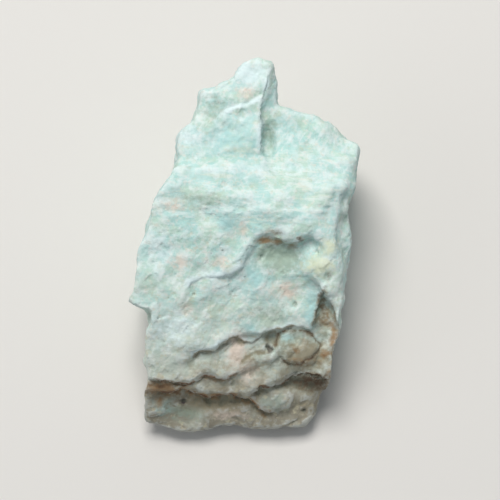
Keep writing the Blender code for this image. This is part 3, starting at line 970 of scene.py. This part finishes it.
# %% Weather the stone: pattern, start, full, strength and colour
GREY_GREEN = (0.60, 0.57, 0.46, 1)
END_BROWN_AND_SHADE = (0.26, 0.22, 0.155, 1)
KHAKI = (0.58, 0.54, 0.38, 1)
WEATHER_STRENGTH = 0.75
END_RAGGED = 0.6
NOISE_MEAN = 0.5
FLECKS_ANYWHERE = 0.28
FLECKS_WEATHERED = 0.5

weather = amazonite.attribute("weather")
wear = amazonite.attribute("wear")
# The dark brown of the very end is partly the stone's own brown and partly painted shade of the end,
# which turns away from the light.
brown_end_and_shade = weather + (patterns["drifts"] - NOISE_MEAN) * END_RAGGED
colour = amazonite.mix(weather * WEATHER_STRENGTH, colour, GREY_GREEN)
weather_washes = (
    (brown_end_and_shade, 0.80, 1.0, 0.8, END_BROWN_AND_SHADE),
    (wear, 0.60, 0.95, 0.35, WHITE),
    (patterns["flecks"], 0.53, 0.68, FLECKS_ANYWHERE + FLECKS_WEATHERED * weather, KHAKI),
)
for pattern, start, full, strength, tint in weather_washes:
    colour = wash(colour, pattern, start, full, strength, tint)
print("the graph has", len(amazonite.tree.nodes), "nodes so far")

# %% [markdown]
# ## Paint and darker hollows
# The paints lie over all of that: the stains, and the painted shade and painted highlight among them.
# A stain has no clean edge, because it has soaked in between the grains, so grit is added to each
# mask before it is cut off, and the stain never spreads past the mask's own rim. The hollows are
# darkened, over everything else.

# %% Lay on the paints and darken the hollows
# Among these colours, the dark mint, olive, umber and pit colours are also painted shade, and the bruise
# white is partly painted highlight.
PAINT_COLOURS = {
    "bruise_and_highlight": (0.73, 0.87, 0.88, 1),
    "aqua": (0.40, 0.65, 0.64, 1),
    "mint_and_shade": (0.32, 0.42, 0.34, 1),
    "lemon": (0.68, 0.73, 0.54, 1),
    "peach": (0.80, 0.67, 0.57, 1),
    "olive_and_shade": (0.30, 0.26, 0.17, 1),
    "ochre": (0.34, 0.20, 0.09, 1),
    "umber_and_shade": (0.13, 0.07, 0.035, 1),
    "pit_shade": (0.07, 0.05, 0.055, 1),
}
# The colour that darkens the hollows, and how strongly:
HOLLOW_DARK = (0.24, 0.25, 0.18, 1)
HOLLOW_DARK_RANGE = (0.62, 0.95)
HOLLOW_DARK_ANYWHERE = 0.10
HOLLOW_DARK_WEATHERED = 0.4
GRITTY = 1.6
PAINT_FULL = 0.9
PAINT_RIM = (0.02, 0.22)
PAINT_STRENGTH = 0.9

# Each paint is laid over the colour: the stains, and with them the painted shade and painted highlight.
for paint, shade in PAINT_COLOURS.items():
    mask = amazonite.attribute(paint)
    gritty = mask + (patterns["grit"] - NOISE_MEAN) * GRITTY
    share = amazonite.smooth_step(gritty, 0.0, PAINT_FULL) * amazonite.smooth_step(mask, *PAINT_RIM)
    colour = amazonite.mix(share * PAINT_STRENGTH, colour, shade)
# The hollows are darkened, and more so towards the near end.
hollow_darkening = HOLLOW_DARK_ANYWHERE + HOLLOW_DARK_WEATHERED * weather
colour = wash(colour, 1.0 - wear, *HOLLOW_DARK_RANGE, hollow_darkening, HOLLOW_DARK)
amazonite.feed(amazonite.surface.inputs["Base Color"], colour)
print("mixed", len(PAINT_COLOURS), "paints into the colour")

# %% [markdown]
# ## Sheen and the finest grain
# The surface is chalky where it is bruised and faintly waxy on clean cleavage, so the roughness
# follows the same noise. The finest grain is too small for the mesh, and is left to a bump.

# %% Add the sheen and the bump
WAXY = 0.55
CHALKY = 0.85
CRUMB_BUMP = 0.12
CRUMB_STRENGTH = 0.6

roughness = WAXY + (CHALKY - WAXY) * patterns["bruises"]
amazonite.feed(amazonite.surface.inputs["Roughness"], roughness)
bump = amazonite.node(
    "ShaderNodeBump", {},
    {"Height": patterns["crumbs"], "Strength": CRUMB_STRENGTH, "Distance": CRUMB_BUMP * MM},
)
amazonite.feed(amazonite.surface.inputs["Normal"], bump)
print("the finished graph has", len(amazonite.tree.nodes), "nodes")
stone.data.materials.clear()
stone.data.materials.append(amazonite.material)

# %% [markdown]
# ## Into the frame
# The dressed stone stands for the CAD solid, which stays behind it for collision.

# %% Place the stone
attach(stone, "root")
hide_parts("amazonite")
print(stone.name, "takes the place of", cad_stone.name)
